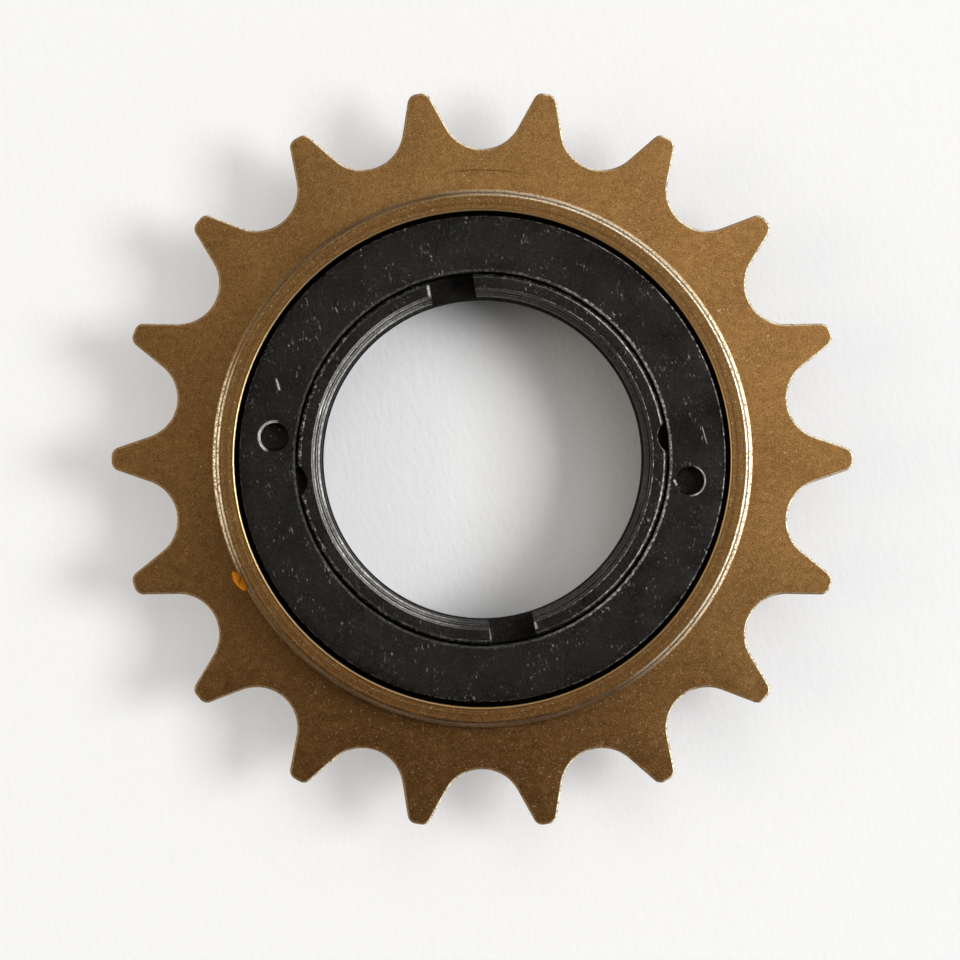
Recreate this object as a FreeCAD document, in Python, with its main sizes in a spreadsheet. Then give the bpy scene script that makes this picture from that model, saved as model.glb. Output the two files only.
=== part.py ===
"""Screw-on bicycle freewheel: toothed body, threaded core, lock ring, pawls, springs and two rows of balls.

The axis of the wheel is Z. The hub-side face of the core lies on Z = 0 and the lock ring faces +Z.
"""
import FreeCAD
import Part
import Sketcher
import math
import os

VECTOR = FreeCAD.Vector
FULL_TURN = 360.0
ON_AXIS = 1e-7

doc = FreeCAD.newDocument("freewheel")

# Driving sizes, in millimetres, degrees and counts
SIZES = [
    ("tooth_count", 18),
    ("chain_pitch", 12.7),
    ("tooth_height", 2.5),
    ("seat_depth", 3.89),
    ("seat_radius", 4.25),
    ("flank_angle", 29),
    ("tip_round", 0.5),
    ("disc_thickness", 2.8),
    ("disc_lift", 4.2),
    ("disc_draft", 0.7),
    ("disc_fillet", 0.5),
    ("hub_bore", 16.9),
    ("hub_lead", 0.6),
    ("bore_sink", 1.0),
    ("bore_sink_depth", 2.7),
    ("core_wall", 4.0),
    ("ball_radius", 1.5875),
    ("ball_offset", 2.1),
    ("race_play", 0.04),
    ("ball_slack", 0.02),
    ("flange_thickness", 1.07),
    ("flange_edge", 0.3),
    ("boss_height", 0.5),
    ("boss_width", 3.6),
    ("rim_gap", 0.35),
    ("cone_rise", 1.2),
    ("skirt_lift", 0.7),
    ("skirt_wall", 2.7),
    ("skirt_edge", 0.5),
    ("ratchet_count", 24),
    ("ratchet_width", 3.85),
    ("ratchet_depth", 1.3),
    ("ratchet_land", 0.3),
    ("crest_gap", 0.4),
    ("drive_play", 0.12),
    ("heel_angle", -3.3),
    ("heel_sink", 0.5),
    ("heel_radius", 1.85),
    ("heel_play", 0.05),
    ("pawl_length", 7.4),
    ("pawl_lean", 7.5),
    ("pawl_under", 1.4),
    ("pawl_tuck", 0.1),
    ("nose_rake", 0.7),
    ("nose_room", 0.4),
    ("pawl_side_gap", 0.2),
    ("pocket_side_gap", 0.08),
    ("leaf_thickness", 0.2),
    ("leaf_gap", 0.02),
    ("leaf_start", 1.6),
    ("leaf_tab", 1.5),
    ("leaf_reach", 3.2),
    ("leaf_inset", 0.5),
    ("shoulder_rise", 0.5),
    ("shim_thin", 0.15),
    ("shim_thick", 0.25),
    ("shim_inset", 0.1),
    ("lock_thread_wall", 2.5),
    ("lock_thread_gap", 0.2),
    ("lock_flange", 2.27),
    ("lock_overhang", 2.5),
    ("lock_bevel_width", 1.1),
    ("lock_bevel_height", 0.35),
    ("lock_bore_bevel", 0.2),
    ("core_setback", 0.2),
    ("core_chamfer", 0.5),
    ("pin_radius", 1.5),
    ("pin_inset", 2.3),
    ("pin_depth", 1.5),
    ("pin_angle", 164.0),
    ("notch_width", 4.7),
    ("notch_depth", 3.0),
    ("mouth_gap", 0.5),
    ("mouth_step", 0.33),
    ("mouth_bevel", 0.2),
    ("ring_wall", 1.95),
    ("ring_edge", 0.4),
    ("cut_margin", 2.0),
]

# Sizes that follow from the driving ones
DERIVED = [
    ("pitch_radius", "Sizes.chain_pitch / (2 * sin(180 deg / Sizes.tooth_count))"),
    ("tip_radius", "pitch_radius + Sizes.tooth_height"),
    ("seat_centre", "pitch_radius - Sizes.seat_depth + Sizes.seat_radius"),
    ("flank_sine", "sin(Sizes.flank_angle * 1 deg)"),
    ("flank_cosine", "cos(Sizes.flank_angle * 1 deg)"),
    ("seat_end_x", "seat_centre - Sizes.seat_radius * flank_sine"),
    ("seat_end_y", "Sizes.seat_radius * flank_cosine"),
    ("round_offset", "Sizes.seat_radius - seat_centre * flank_sine + Sizes.tip_round"),
    ("round_circle", "tip_radius - Sizes.tip_round"),
    ("round_along", "sqrt(round_circle ^ 2 - round_offset ^ 2)"),
    ("round_x", "flank_cosine * round_along - flank_sine * round_offset"),
    ("round_y", "flank_cosine * round_offset + flank_sine * round_along"),
    ("flank_end_x", "round_x + flank_sine * Sizes.tip_round"),
    ("flank_end_y", "round_y - flank_cosine * Sizes.tip_round"),
    ("tip_x", "round_x * tip_radius / round_circle"),
    ("tip_y", "round_y * tip_radius / round_circle"),
    ("clear_x", "tip_x * (1 + Sizes.cut_margin / tip_radius)"),
    ("clear_y", "tip_y * (1 + Sizes.cut_margin / tip_radius)"),
    ("core_radius", "Sizes.hub_bore + Sizes.core_wall"),
    ("ball_circle", "core_radius + Sizes.ball_offset"),
    ("groove", "Sizes.ball_radius + Sizes.race_play"),
    ("cup_radius", "ball_circle + groove"),
    ("cone_radius", "ball_circle - groove"),
    ("flange_top", "Sizes.boss_height + Sizes.flange_thickness"),
    ("rear_row", "flange_top + groove"),
    ("shelf_bottom", "rear_row + groove"),
    ("shelf_top", "shelf_bottom + Sizes.ratchet_width"),
    ("front_row", "shelf_top + groove"),
    ("flange_radius", "cup_radius - Sizes.rim_gap"),
    ("boss_radius", "Sizes.hub_bore + Sizes.boss_width"),
    ("cone_top", "rear_row + Sizes.cone_rise"),
    ("crest_radius", "core_radius + Sizes.crest_gap"),
    ("valley_radius", "crest_radius + Sizes.ratchet_depth"),
    ("ramp_radius", "(crest_radius + valley_radius) / 2"),
    ("ratchet_clear", "crest_radius - Sizes.crest_gap"),
    ("ramp_angle", "360 / Sizes.ratchet_count - Sizes.ratchet_land / crest_radius * 180 / pi"),
    ("ramp_start_x", "crest_radius * cos(ramp_angle * 1 deg)"),
    ("ramp_start_y", "-crest_radius * sin(ramp_angle * 1 deg)"),
    ("ramp_clear_x", "ratchet_clear * cos(ramp_angle * 1 deg)"),
    ("ramp_clear_y", "-ratchet_clear * sin(ramp_angle * 1 deg)"),
    ("heel_circle", "core_radius - Sizes.heel_sink"),
    ("heel_x", "heel_circle * cos(Sizes.pawl_lean * 1 deg)"),
    ("heel_y", "-heel_circle * sin(Sizes.pawl_lean * 1 deg)"),
    ("socket_radius", "Sizes.heel_radius + Sizes.heel_play"),
    ("back_radius", "core_radius - Sizes.pawl_tuck"),
    ("nose_y", "heel_y + Sizes.pawl_length"),
    ("nose_x", "sqrt(back_radius ^ 2 - nose_y ^ 2)"),
    ("under_x", "heel_x - Sizes.pawl_under"),
    ("under_y", "heel_y + sqrt(Sizes.heel_radius ^ 2 - Sizes.pawl_under ^ 2)"),
    ("nose_low_y", "nose_y - Sizes.nose_rake"),
    ("heel_meet", "(back_radius ^ 2 - Sizes.heel_radius ^ 2 + heel_circle ^ 2) / (2 * heel_circle)"),
    ("heel_drop", "acos(heel_meet / back_radius) / 1 deg + Sizes.pawl_lean"),
    ("heel_back_x", "back_radius * cos(heel_drop * 1 deg)"),
    ("heel_back_y", "-back_radius * sin(heel_drop * 1 deg)"),
    ("pocket_low", "heel_x - socket_radius"),
    ("pocket_high", "heel_x + socket_radius"),
    ("pocket_end", "nose_y + Sizes.nose_room"),
    ("socket_back", "heel_y - socket_radius"),
    ("pawl_turn", "Sizes.heel_angle + Sizes.pawl_lean"),
    ("pawl_bottom", "shelf_bottom + Sizes.pawl_side_gap"),
    ("pawl_width", "Sizes.ratchet_width - 2 * Sizes.pawl_side_gap"),
    ("pocket_bottom", "pawl_bottom - Sizes.pocket_side_gap"),
    ("pocket_width", "pawl_width + 2 * Sizes.pocket_side_gap"),
    ("nose_reach", "sqrt(Sizes.pawl_length ^ 2 + (nose_x - heel_x) ^ 2)"),
    ("cross_sine", "(crest_radius ^ 2 - heel_circle ^ 2 - nose_reach ^ 2) / (2 * heel_circle * nose_reach)"),
    ("cross_x", "heel_circle + nose_reach * cross_sine"),
    ("cross_y", "nose_reach * sqrt(1 - cross_sine ^ 2)"),
    ("drive_play_angle", "Sizes.drive_play / valley_radius * 180 / pi"),
    ("drive_angle", "Sizes.heel_angle + atan(cross_y / cross_x) / 1 deg + drive_play_angle"),
    ("leaf_low", "pocket_low + Sizes.leaf_gap"),
    ("leaf_high", "under_x - Sizes.leaf_gap"),
    ("leaf_foot_y", "heel_y + Sizes.leaf_start"),
    ("leaf_bend_y", "leaf_foot_y + Sizes.leaf_tab"),
    ("leaf_end_y", "leaf_bend_y + Sizes.leaf_reach"),
    ("leaf_bottom", "pawl_bottom + Sizes.leaf_inset"),
    ("leaf_width", "pawl_width - 2 * Sizes.leaf_inset"),
    ("shoulder", "shelf_top + Sizes.shoulder_rise"),
    ("shim_middle", "shoulder + Sizes.shim_thin"),
    ("lock_bottom", "shim_middle + Sizes.shim_thick"),
    ("lock_thread", "Sizes.hub_bore + Sizes.lock_thread_wall"),
    ("lock_bore", "lock_thread + Sizes.lock_thread_gap"),
    ("shim_outer", "core_radius - Sizes.shim_inset"),
    ("lock_under", "front_row + groove"),
    ("lock_top", "lock_under + Sizes.lock_flange"),
    ("lock_radius", "ball_circle + Sizes.lock_overhang"),
    ("core_top", "lock_top - Sizes.core_setback"),
    ("pin_circle", "lock_bore + Sizes.pin_inset"),
    ("pin_floor", "lock_top - Sizes.pin_depth"),
    ("notch_floor", "core_top - Sizes.notch_depth"),
    ("notch_side", "Sizes.notch_width / 2"),
    ("notch_inner", "Sizes.hub_bore - Sizes.cut_margin"),
    ("notch_outer", "lock_thread + Sizes.cut_margin"),
    ("notch_cut", "Sizes.notch_depth + Sizes.cut_margin"),
    ("mouth_radius", "lock_radius + Sizes.mouth_gap"),
    ("mouth_floor", "lock_under - Sizes.mouth_step"),
    ("ring_radius", "mouth_radius + Sizes.ring_wall"),
    ("skirt_radius", "cup_radius + Sizes.skirt_wall"),
    ("disc_low", "rear_row + Sizes.disc_lift"),
    ("disc_high", "disc_low + Sizes.disc_thickness"),
    ("through_cut", "lock_top + Sizes.cut_margin"),
]

sizes = doc.addObject("Spreadsheet::Sheet", "Sizes")
for row, (alias, number) in enumerate(SIZES, start=1):
    sizes.set(f"A{row}", alias)
    sizes.set(f"B{row}", str(number))
    sizes.setAlias(f"B{row}", alias)
doc.recompute()

derived = doc.addObject("Spreadsheet::Sheet", "Derived")
for row, (alias, formula) in enumerate(DERIVED, start=1):
    derived.set(f"A{row}", alias)
    derived.set(f"B{row}", "=" + formula)
    derived.setAlias(f"B{row}", alias)
doc.recompute()


# Helpers for bodies, sketches and features
def value(expression):
    """The number that an expression over the two sheets stands for."""
    result = derived.evalExpression(expression)
    return float(getattr(result, "Value", result))


def new_body(label, turn=None):
    """A body with its label, turned about the wheel's axis if a turn is given."""
    body = doc.addObject("PartDesign::Body", label)
    body.Label = label
    if turn is not None:
        body.Placement = FreeCAD.Placement(VECTOR(), FreeCAD.Rotation(VECTOR(0, 0, 1), value(turn)))
        body.setExpression("Placement.Rotation.Angle", turn)
    return body


def new_sketch(body, name, plane, lift=None, turn=None):
    """A sketch on one of the body's own planes, lifted and turned by expressions."""
    sketch = body.newObject("Sketcher::SketchObject", name)
    support = [item for item in body.Origin.OriginFeatures if item.Role == plane][0]
    sketch.AttachmentSupport = [(support, "")]
    sketch.MapMode = "FlatFace"
    if turn is not None:
        rotation = FreeCAD.Rotation(VECTOR(0, 0, 1), value(turn))
        sketch.AttachmentOffset = FreeCAD.Placement(VECTOR(), rotation)
        sketch.setExpression("AttachmentOffset.Rotation.Angle", turn)
    if lift is not None:
        sketch.setExpression("AttachmentOffset.Base.z", lift)
    return sketch


def pin_point(sketch, geometry, point, corner):
    """Hold a point of the sketch at the place its two expressions give."""
    for kind, expression in zip(("DistanceX", "DistanceY"), corner):
        number = value(expression)
        if abs(number) < ON_AXIS:
            axis = -2 if kind == "DistanceX" else -1
            sketch.addConstraint(Sketcher.Constraint("PointOnObject", geometry, point, axis))
            continue
        index = sketch.addConstraint(Sketcher.Constraint(kind, -1, 1, geometry, point, number))
        sketch.setExpression(f"Constraints[{index}]", expression)


def add_outline(sketch, corners):
    """A closed outline. A corner is (x, y), or (x, y, side, radius) where an arc leads to the next corner."""
    places = [VECTOR(value(corner[0]), value(corner[1]), 0) for corner in corners]
    joints = []
    for index, corner in enumerate(corners):
        start = places[index]
        end = places[(index + 1) % len(corners)]
        if len(corner) == 2:
            edge = sketch.addGeometry(Part.LineSegment(start, end), False)
            joints.append((edge, 1, 2))
            continue
        side = corner[2]
        radius = value(corner[3])
        chord = end.sub(start)
        left = VECTOR(-chord.y, chord.x, 0).normalize()
        height = math.sqrt(max(radius ** 2 - (chord.Length / 2) ** 2, 0.0))
        toward = 1 if side == "left" else -1
        centre = start.add(chord * 0.5).add(left * (toward * height))
        first, last = (start, end) if side == "left" else (end, start)
        begin = math.atan2(first.y - centre.y, first.x - centre.x)
        finish = math.atan2(last.y - centre.y, last.x - centre.x)
        circle = Part.Circle(centre, VECTOR(0, 0, 1), radius)
        edge = sketch.addGeometry(Part.ArcOfCircle(circle, begin, finish), False)
        joints.append((edge, 1, 2) if side == "left" else (edge, 2, 1))
        bound = sketch.addConstraint(Sketcher.Constraint("Radius", edge, radius))
        sketch.setExpression(f"Constraints[{bound}]", corner[3])
    for index, (edge, start, end) in enumerate(joints):
        after, after_start, after_end = joints[(index + 1) % len(joints)]
        sketch.addConstraint(Sketcher.Constraint("Coincident", edge, end, after, after_start))
        pin_point(sketch, edge, start, corners[index][:2])


def add_circle(sketch, centre, radius):
    """A circle whose centre and radius follow expressions."""
    place = VECTOR(value(centre[0]), value(centre[1]), 0)
    edge = sketch.addGeometry(Part.Circle(place, VECTOR(0, 0, 1), value(radius)), False)
    bound = sketch.addConstraint(Sketcher.Constraint("Radius", edge, value(radius)))
    sketch.setExpression(f"Constraints[{bound}]", radius)
    pin_point(sketch, edge, 3, centre)


def revolve(body, name, corners):
    """A ring whose section lies in the XZ plane."""
    sketch = new_sketch(body, name + "_section", "XZ_Plane")
    add_outline(sketch, corners)
    feature = body.newObject("PartDesign::Revolution", name)
    feature.Profile = sketch
    feature.ReferenceAxis = (sketch, ["V_Axis"])
    feature.Angle = FULL_TURN
    sketch.Visibility = False
    doc.recompute()
    return feature


def pad_up(body, name, sketch, height):
    """A pad from the sketch toward +Z."""
    feature = body.newObject("PartDesign::Pad", name)
    feature.Profile = sketch
    feature.setExpression("Length", height)
    doc.recompute()
    return feature


def cut_up(body, name, sketch, height):
    """A pocket from the sketch toward +Z, which has to take some metal away."""
    before = body.Shape.Volume
    feature = body.newObject("PartDesign::Pocket", name)
    feature.Profile = sketch
    feature.Reversed = True
    feature.setExpression("Length", height)
    doc.recompute()
    if not body.Shape.Volume < before:
        raise RuntimeError(f"{name} cuts nothing")
    return feature


def repeat(body, name, features, count):
    """The same features all round the wheel's axis."""
    pattern = body.newObject("PartDesign::PolarPattern", name)
    pattern.Originals = features
    axis = [item for item in body.Origin.OriginFeatures if item.Role == "Z_Axis"][0]
    pattern.Axis = (axis, [""])
    pattern.Angle = FULL_TURN
    pattern.setExpression("Occurrences", count)
    body.Tip = pattern
    doc.recompute()
    return pattern


# Toothed body: chain teeth outside, ratchet teeth and two ball cups inside
sprocket_body = new_body("sprocket_body")
revolve(sprocket_body, "body_ring", [
    ("Derived.cup_radius", "Sizes.skirt_lift"),
    ("Derived.skirt_radius - Sizes.skirt_edge", "Sizes.skirt_lift", "left", "Sizes.skirt_edge"),
    ("Derived.skirt_radius", "Sizes.skirt_lift + Sizes.skirt_edge"),
    ("Derived.skirt_radius", "Derived.disc_low - Sizes.disc_fillet", "right", "Sizes.disc_fillet"),
    ("Derived.skirt_radius + Sizes.disc_fillet", "Derived.disc_low"),
    ("Derived.tip_radius", "Derived.disc_low + Sizes.disc_draft"),
    ("Derived.tip_radius", "Derived.disc_high - Sizes.disc_draft"),
    ("Derived.ring_radius + Sizes.disc_fillet", "Derived.disc_high", "right", "Sizes.disc_fillet"),
    ("Derived.ring_radius", "Derived.disc_high + Sizes.disc_fillet"),
    ("Derived.ring_radius", "Derived.lock_top - Sizes.ring_edge", "left", "Sizes.ring_edge"),
    ("Derived.ring_radius - Sizes.ring_edge", "Derived.lock_top"),
    ("Derived.mouth_radius + Sizes.mouth_bevel", "Derived.lock_top"),
    ("Derived.mouth_radius", "Derived.lock_top - Sizes.mouth_bevel"),
    ("Derived.mouth_radius", "Derived.mouth_floor"),
    ("Derived.cup_radius", "Derived.mouth_floor"),
    ("Derived.cup_radius", "Derived.front_row", "right", "Derived.groove"),
    ("Derived.ball_circle", "Derived.shelf_top"),
    ("Derived.crest_radius", "Derived.shelf_top"),
    ("Derived.crest_radius", "Derived.shelf_bottom"),
    ("Derived.ball_circle", "Derived.shelf_bottom", "right", "Derived.groove"),
    ("Derived.cup_radius", "Derived.rear_row"),
])

gap_sketch = new_sketch(sprocket_body, "tooth_gap_outline", "XY_Plane")
add_outline(gap_sketch, [
    ("Derived.clear_x", "-Derived.clear_y"),
    ("Derived.clear_x", "Derived.clear_y"),
    ("Derived.tip_x", "Derived.tip_y", "right", "Sizes.tip_round"),
    ("Derived.flank_end_x", "Derived.flank_end_y"),
    ("Derived.seat_end_x", "Derived.seat_end_y", "left", "Sizes.seat_radius"),
    ("Derived.seat_end_x", "-Derived.seat_end_y"),
    ("Derived.flank_end_x", "-Derived.flank_end_y", "right", "Sizes.tip_round"),
    ("Derived.tip_x", "-Derived.tip_y"),
])
tooth_gap = cut_up(sprocket_body, "tooth_gap", gap_sketch, "Derived.through_cut")
repeat(sprocket_body, "tooth_gaps", [tooth_gap], "Sizes.tooth_count")

ratchet_sketch = new_sketch(sprocket_body, "ratchet_outline", "XY_Plane", turn="Derived.drive_angle")
add_outline(ratchet_sketch, [
    ("Derived.ramp_clear_x", "Derived.ramp_clear_y"),
    ("Derived.ramp_start_x", "Derived.ramp_start_y", "left", "Derived.ramp_radius"),
    ("Derived.valley_radius", "0"),
    ("Derived.ratchet_clear", "0"),
])
ratchet_space = cut_up(sprocket_body, "ratchet_space", ratchet_sketch, "Derived.through_cut")
repeat(sprocket_body, "ratchet_spaces", [ratchet_space], "Sizes.ratchet_count")

# Threaded core: hub bore, rear cone, pawl pockets, thread end with two remover notches
inner_core = new_body("inner_core")
revolve(inner_core, "core_ring", [
    ("Sizes.hub_bore + Sizes.hub_lead", "0"),
    ("Derived.boss_radius", "0"),
    ("Derived.boss_radius", "Sizes.boss_height"),
    ("Derived.flange_radius - Sizes.flange_edge", "Sizes.boss_height"),
    ("Derived.flange_radius", "Sizes.boss_height + Sizes.flange_edge"),
    ("Derived.flange_radius", "Derived.flange_top"),
    ("Derived.ball_circle", "Derived.flange_top", "right", "Derived.groove"),
    ("Derived.cone_radius", "Derived.rear_row"),
    ("Derived.cone_radius", "Derived.cone_top"),
    ("Derived.core_radius", "Derived.cone_top"),
    ("Derived.core_radius", "Derived.shoulder"),
    ("Derived.lock_thread", "Derived.shoulder"),
    ("Derived.lock_thread", "Derived.core_top - Sizes.core_chamfer"),
    ("Derived.lock_thread - Sizes.core_chamfer", "Derived.core_top"),
    ("Sizes.hub_bore + Sizes.bore_sink", "Derived.core_top"),
    ("Sizes.hub_bore", "Derived.core_top - Sizes.bore_sink_depth"),
    ("Sizes.hub_bore", "Sizes.hub_lead"),
])

pocket_sketch = new_sketch(inner_core, "pawl_pocket_outline", "XY_Plane", "Derived.pocket_bottom", "Derived.pawl_turn")
add_outline(pocket_sketch, [
    ("Derived.pocket_low", "Derived.heel_y", "left", "Derived.socket_radius"),
    ("Derived.heel_x", "Derived.socket_back", "left", "Derived.socket_radius"),
    ("Derived.pocket_high", "Derived.heel_y"),
    ("Derived.pocket_high", "Derived.pocket_end"),
    ("Derived.pocket_low", "Derived.pocket_end"),
])
pawl_pocket = cut_up(inner_core, "pawl_pocket", pocket_sketch, "Derived.pocket_width")

groove_sketch = new_sketch(inner_core, "heel_groove_outline", "XY_Plane", "Derived.pocket_bottom", "Sizes.heel_angle")
add_circle(groove_sketch, ("Derived.heel_circle", "0"), "Derived.socket_radius")
heel_groove = cut_up(inner_core, "heel_groove", groove_sketch, "Derived.through_cut")

notch_sketch = new_sketch(inner_core, "notch_outline", "XY_Plane", "Derived.notch_floor")
add_outline(notch_sketch, [
    ("-Derived.notch_side", "Derived.notch_inner"),
    ("Derived.notch_side", "Derived.notch_inner"),
    ("Derived.notch_side", "Derived.notch_outer"),
    ("-Derived.notch_side", "Derived.notch_outer"),
])
remover_notch = cut_up(inner_core, "remover_notch", notch_sketch, "Derived.notch_cut")
repeat(inner_core, "opposite_cuts", [pawl_pocket, heel_groove, remover_notch], "2")

# Lock ring: the front cone, screwed down on the shims
lock_ring = new_body("lock_ring")
revolve(lock_ring, "cone_ring", [
    ("Derived.lock_bore", "Derived.lock_bottom"),
    ("Derived.cone_radius", "Derived.lock_bottom"),
    ("Derived.cone_radius", "Derived.front_row", "right", "Derived.groove"),
    ("Derived.ball_circle", "Derived.lock_under"),
    ("Derived.lock_radius", "Derived.lock_under"),
    ("Derived.lock_radius", "Derived.lock_top - Sizes.lock_bevel_height"),
    ("Derived.lock_radius - Sizes.lock_bevel_width", "Derived.lock_top"),
    ("Derived.lock_bore + Sizes.lock_bore_bevel", "Derived.lock_top"),
    ("Derived.lock_bore", "Derived.lock_top - Sizes.lock_bore_bevel"),
])
pin_sketch = new_sketch(lock_ring, "pin_hole_outline", "XY_Plane", "Derived.pin_floor", "Sizes.pin_angle")
add_circle(pin_sketch, ("Derived.pin_circle", "0"), "Sizes.pin_radius")
pin_hole = cut_up(lock_ring, "pin_hole", pin_sketch, "Sizes.pin_depth + Sizes.cut_margin")
repeat(lock_ring, "pin_holes", [pin_hole], "2")


# Two shims that set the bearing play
def add_shim(label, lift, thickness):
    """A flat ring lying on the core's shoulder."""
    body = new_body(label)
    sketch = new_sketch(body, label + "_outline", "XY_Plane", lift)
    add_circle(sketch, ("0", "0"), "Derived.shim_outer")
    add_circle(sketch, ("0", "0"), "Derived.lock_bore")
    pad_up(body, label + "_ring", sketch, thickness)
    return body


shim_thin = add_shim("shim_thin", "Derived.shoulder", "Sizes.shim_thin")
shim_thick = add_shim("shim_thick", "Derived.shim_middle", "Sizes.shim_thick")


# Two pawls, lying down in their pockets, and the leaf spring under each
def add_pawl(label, turn):
    """A pawl with a round heel and a raked nose."""
    body = new_body(label, turn)
    sketch = new_sketch(body, label + "_outline", "XY_Plane", "Derived.pawl_bottom")
    add_outline(sketch, [
        ("Derived.heel_back_x", "Derived.heel_back_y", "left", "Derived.back_radius"),
        ("Derived.nose_x", "Derived.nose_y"),
        ("Derived.under_x", "Derived.nose_low_y"),
        ("Derived.under_x", "Derived.under_y", "left", "Sizes.heel_radius"),
    ])
    pad_up(body, label + "_block", sketch, "Derived.pawl_width")
    return body


def add_leaf(label, turn):
    """A bent strip that lies on the pocket floor and rises to the pawl."""
    body = new_body(label, turn)
    sketch = new_sketch(body, label + "_outline", "XY_Plane", "Derived.leaf_bottom")
    add_outline(sketch, [
        ("Derived.leaf_low", "Derived.leaf_foot_y"),
        ("Derived.leaf_low + Sizes.leaf_thickness", "Derived.leaf_foot_y"),
        ("Derived.leaf_low + Sizes.leaf_thickness", "Derived.leaf_bend_y"),
        ("Derived.leaf_high", "Derived.leaf_end_y"),
        ("Derived.leaf_high - Sizes.leaf_thickness", "Derived.leaf_end_y"),
        ("Derived.leaf_low", "Derived.leaf_bend_y"),
    ])
    pad_up(body, label + "_strip", sketch, "Derived.leaf_width")
    return body


FIRST = "Derived.pawl_turn"
SECOND = "Derived.pawl_turn + 180"
pawl_1 = add_pawl("pawl_1", FIRST)
pawl_2 = add_pawl("pawl_2", SECOND)
pawl_spring_1 = add_leaf("pawl_spring_1", FIRST)
pawl_spring_2 = add_leaf("pawl_spring_2", SECOND)

# Bearing balls, each a small solid with flat facets whose corners lie on the true sphere
FACET_SIDES = 8
FACET_LATITUDES = (-67.5, -22.5, 22.5, 67.5)


def facet_ball(radius):
    """One ball as a ruled loft through rings of corners."""
    rings = []
    for latitude in FACET_LATITUDES:
        ring_radius = radius * math.cos(math.radians(latitude))
        height = radius * math.sin(math.radians(latitude))
        angles = [math.radians(FULL_TURN * side / FACET_SIDES) for side in range(FACET_SIDES + 1)]
        corners = [VECTOR(ring_radius * math.cos(a), ring_radius * math.sin(a), height) for a in angles]
        rings.append(Part.makePolygon(corners))
    return Part.makeLoft(rings, True, True)


def add_ball_row(label, height):
    """A full row of loose balls on the ball circle."""
    radius = value("Sizes.ball_radius")
    circle = value("Derived.ball_circle")
    room = radius + value("Sizes.ball_slack") / 2
    count = int(math.pi / math.asin(room / circle))
    ball = facet_ball(radius)
    ball.translate(VECTOR(circle, 0, 0))
    balls = []
    for index in range(count):
        one = ball.copy()
        one.rotate(VECTOR(), VECTOR(0, 0, 1), FULL_TURN * index / count)
        balls.append(one)
    row = doc.addObject("Part::Feature", label)
    row.Label = label
    row.Shape = Part.makeCompound(balls)
    row.Placement = FreeCAD.Placement(VECTOR(0, 0, value(height)), FreeCAD.Rotation())
    row.setExpression("Placement.Base.z", height)
    return row


front_balls = add_ball_row("front_balls", "Derived.front_row")
rear_balls = add_ball_row("rear_balls", "Derived.rear_row")
doc.recompute()

# Check every object and write one file for each piece
PIECES = [
    sprocket_body,
    inner_core,
    lock_ring,
    shim_thin,
    shim_thick,
    pawl_1,
    pawl_2,
    pawl_spring_1,
    pawl_spring_2,
    front_balls,
    rear_balls,
]
for item in doc.Objects:
    if "Invalid" in item.State or "Error" in item.State:
        raise RuntimeError(f"{item.Name}: {item.State}")
os.makedirs("parts", exist_ok=True)
for piece in PIECES:
    if piece.Shape.isNull() or not piece.Shape.isValid():
        raise RuntimeError(f"{piece.Label} has no sound shape")
    piece.Shape.exportStep(f"parts/{piece.Label}.step")
    print(piece.Label, len(piece.Shape.Solids), round(piece.Shape.Volume, 3), piece.Shape.BoundBox)
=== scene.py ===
# %% [markdown]
# # A screw-on bicycle freewheel
# The freewheel carries the chain on a toothed body, and its core screws onto the rear hub. The CAD frame
# already holds every piece in its place, so loading it first gives the sizes that the fine meshes below
# have to keep.

# %% Load the frame
import math
import bpy
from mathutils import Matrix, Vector


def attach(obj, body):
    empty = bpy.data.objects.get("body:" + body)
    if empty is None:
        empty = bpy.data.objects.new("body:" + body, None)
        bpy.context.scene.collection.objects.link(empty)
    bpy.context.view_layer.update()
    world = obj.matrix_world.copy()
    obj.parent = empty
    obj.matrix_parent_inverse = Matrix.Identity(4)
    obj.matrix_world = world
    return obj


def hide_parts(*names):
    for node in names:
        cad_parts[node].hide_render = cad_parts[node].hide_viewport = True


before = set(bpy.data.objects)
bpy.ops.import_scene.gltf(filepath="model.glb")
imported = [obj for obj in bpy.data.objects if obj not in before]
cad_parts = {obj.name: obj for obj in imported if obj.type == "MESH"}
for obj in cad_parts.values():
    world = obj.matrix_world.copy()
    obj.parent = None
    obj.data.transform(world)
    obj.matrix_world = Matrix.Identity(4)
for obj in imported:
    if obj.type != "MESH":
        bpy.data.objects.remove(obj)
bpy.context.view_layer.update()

# %% [markdown]
# ## Turning on a lathe
# A lathe spins a blank while a tool follows the section. A mesh ring can be made the same way: one corner
# is extruded along the section, and the closed line is spun about the axle. A Screw modifier could turn it
# too, but the spin shows each step as it is done by hand. All numbers are millimetres, as on a workshop
# drawing.


# %% Helpers that turn a section
SAME_CORNER = 0.0005  # corners nearer than this are merged
AXLE = {"center": (0, 0, 0), "axis": (0, 0, 1)}


def arc(centre, radius, start, end, steps=6):
    """Corners along an arc, angles in degrees."""
    angles = [math.radians(start + (end - start) * i / steps) for i in range(steps + 1)]
    return [(centre[0] + radius * math.cos(a), centre[1] + radius * math.sin(a)) for a in angles]


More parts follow.
